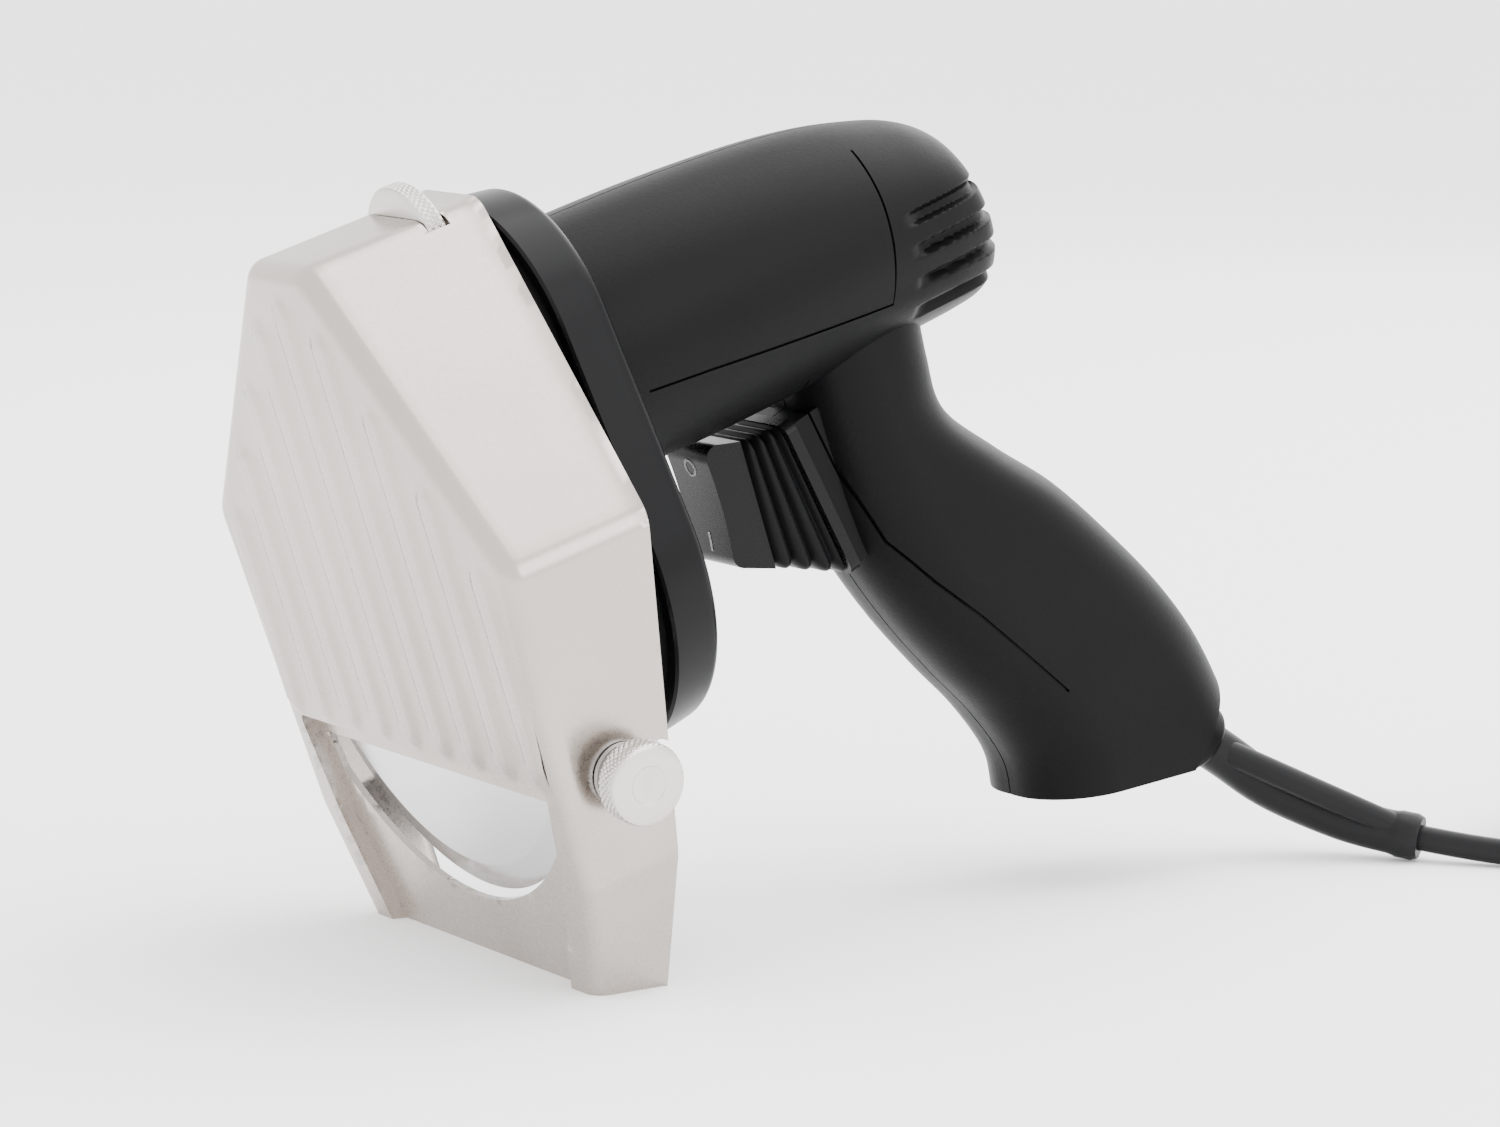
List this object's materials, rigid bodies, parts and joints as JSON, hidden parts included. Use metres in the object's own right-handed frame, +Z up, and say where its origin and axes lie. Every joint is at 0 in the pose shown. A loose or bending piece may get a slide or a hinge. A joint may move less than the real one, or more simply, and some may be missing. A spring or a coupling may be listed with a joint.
{
  "type": "electric meat slicer",
  "caption": "Hand-held electric slicer with a round blade behind a ribbed steel guard, a lobed gear housing, a pistol grip with a rocker switch, and a power cord.",
  "frame": {"origin": "centre of the tool's bounding box on the surface it stands on, the free cord left out", "axes": "+Y from the guard to the grip's heel, +Z up, +X to the tool's right"},
  "size_m": [0.1396, 0.369, 0.1459],
  "materials": {
    "guard_steel": "satin polished stainless steel",
    "blade_steel": "ground stainless steel",
    "turned_steel": "knurled and turned steel",
    "zinc_steel": "zinc plated steel",
    "bearing_steel": "polished bearing steel",
    "body_plastic": "black grained polyamide",
    "ring_plastic": "black smooth polyamide",
    "rocker_plastic": "black glossy plastic",
    "boot_rubber": "black rubber",
    "cable_rubber": "dark grey rubber sheath",
    "motor_steel": "zinc plated motor can",
    "magnet_ferrite": "ferrite",
    "core_steel": "laminated steel",
    "copper": "enamelled copper",
    "brass": "turned brass",
    "carbon": "carbon",
    "gear_plastic": "natural nylon",
    "fan_plastic": "dark nylon",
    "sintered_bronze": "sintered bronze",
    "seal_rubber": "nitrile rubber",
    "board_laminate": "glass epoxy laminate",
    "capacitor_case": "coated film capacitor",
    "rectifier_case": "moulded epoxy",
    "lead_insulation": "PVC insulation"
  },
  "bodies": {
    "housing": {"housing_left": "body_plastic", "housing_right": "body_plastic", "housing_screws": "zinc_steel", "gear_housing": "ring_plastic", "gear_cover": "ring_plastic", "cover_screws": "zinc_steel", "adjuster_stud": "turned_steel", "spindle_bearing": "bearing_steel", "spindle_bush": "sintered_bronze", "spindle_seal": "seal_rubber", "guard_bracket": "zinc_steel", "bracket_screws": "zinc_steel", "bracket_nuts": "zinc_steel", "motor_can": "motor_steel", "motor_screws": "zinc_steel", "motor_magnets": "magnet_ferrite", "motor_end_cap": "fan_plastic", "motor_rear_bush": "sintered_bronze", "motor_front_bearing": "bearing_steel", "carbon_brushes": "carbon", "brush_holders": "brass", "brush_springs": "zinc_steel", "switch_bezel": "body_plastic", "switch_body": "fan_plastic", "switch_terminals": "brass", "switch_boot": "boot_rubber", "circuit_board": "board_laminate", "capacitor": "capacitor_case", "bridge_rectifier": "rectifier_case", "lead_wires": "lead_insulation", "cord_clamp": "fan_plastic", "clamp_screws": "zinc_steel", "cord_collar": "body_plastic", "cord_lead": "cable_rubber", "cord_sleeve": "boot_rubber", "power_cord": "cable_rubber", "cord_coil": "cable_rubber", "cord_tail": "cable_rubber", "cord_tie": "rocker_plastic", "plug_body": "rocker_plastic", "plug_pins": "brass"},
    "armature": {"motor_shaft": "bearing_steel", "armature_core": "core_steel", "armature_windings": "copper", "commutator": "copper", "motor_pinion": "brass", "cooling_fan": "fan_plastic"},
    "blade_drive": {"blade_spindle": "turned_steel", "drive_gear": "gear_plastic", "gear_key": "zinc_steel", "blade": "blade_steel", "blade_clamp_disc": "turned_steel", "blade_screw": "turned_steel"},
    "guard": {"blade_guard": "guard_steel"},
    "thickness_wheel": {"thickness_wheel": "turned_steel"},
    "lock_washer_right": {"lock_washer_right": "turned_steel"},
    "lock_washer_left": {"lock_washer_left": "turned_steel"},
    "lock_knob_right": {"lock_knob_right": "turned_steel"},
    "lock_knob_left": {"lock_knob_left": "turned_steel"},
    "rocker": {"switch_rocker": "rocker_plastic"}
  },
  "joints": [
    {"name": "armature_spin", "type": "hinge", "parent": "housing", "child": "armature", "pos_m": [0, -0.04435, 0.11214], "axis": [0, 0.9518, 0.3069], "continuous": true},
    {"name": "blade_spin", "type": "hinge", "parent": "housing", "child": "blade_drive", "pos_m": [0, -0.07168, 0.06655], "axis": [0, 0.9518, 0.3069], "continuous": true},
    {"name": "guard_slide", "type": "slide", "parent": "housing", "child": "guard", "axis": [0, -0.9518, -0.3069], "range_m": [0, 0.008]},
    {"name": "thickness_turn", "type": "hinge", "parent": "guard", "child": "thickness_wheel", "pos_m": [0, -0.09112, 0.12522], "axis": [0, 0.9518, 0.3069], "range_deg": [0, 720]},
    {"name": "rocker_tilt", "type": "hinge", "parent": "housing", "child": "rocker", "pos_m": [0, -0.02221, 0.07935], "axis": [1, 0, 0], "range_deg": [0, 16], "deforming": ["switch_boot"]},
    {"name": "lock_washer_slide_right", "type": "slide", "parent": "housing", "child": "lock_washer_right", "axis": [0.9964, 0.0259, -0.0804], "range_m": [0, 0.0016]},
    {"name": "lock_knob_turn_right", "type": "hinge", "parent": "lock_washer_right", "child": "lock_knob_right", "pos_m": [0.05153, -0.08015, 0.0407], "axis": [0.9964, 0.0259, -0.0804], "range_deg": [0, 720]},
    {"name": "lock_washer_slide_left", "type": "slide", "parent": "housing", "child": "lock_washer_left", "axis": [-0.9964, 0.0259, -0.0804], "range_m": [0, 0.0016]},
    {"name": "lock_knob_turn_left", "type": "hinge", "parent": "lock_washer_left", "child": "lock_knob_left", "pos_m": [-0.05153, -0.08015, 0.0407], "axis": [-0.9964, 0.0259, -0.0804], "range_deg": [0, 720]}
  ],
  "couplings": [
    {"joint": "armature_spin", "follows": "blade_spin", "ratio": -4},
    {"joint": "thickness_turn", "follows": "guard_slide", "rad_per_m": 1570.8},
    {"joint": "lock_knob_turn_right", "follows": "lock_washer_slide_right", "rad_per_m": 7854},
    {"joint": "lock_knob_turn_left", "follows": "lock_washer_slide_left", "rad_per_m": 7854}
  ]
}
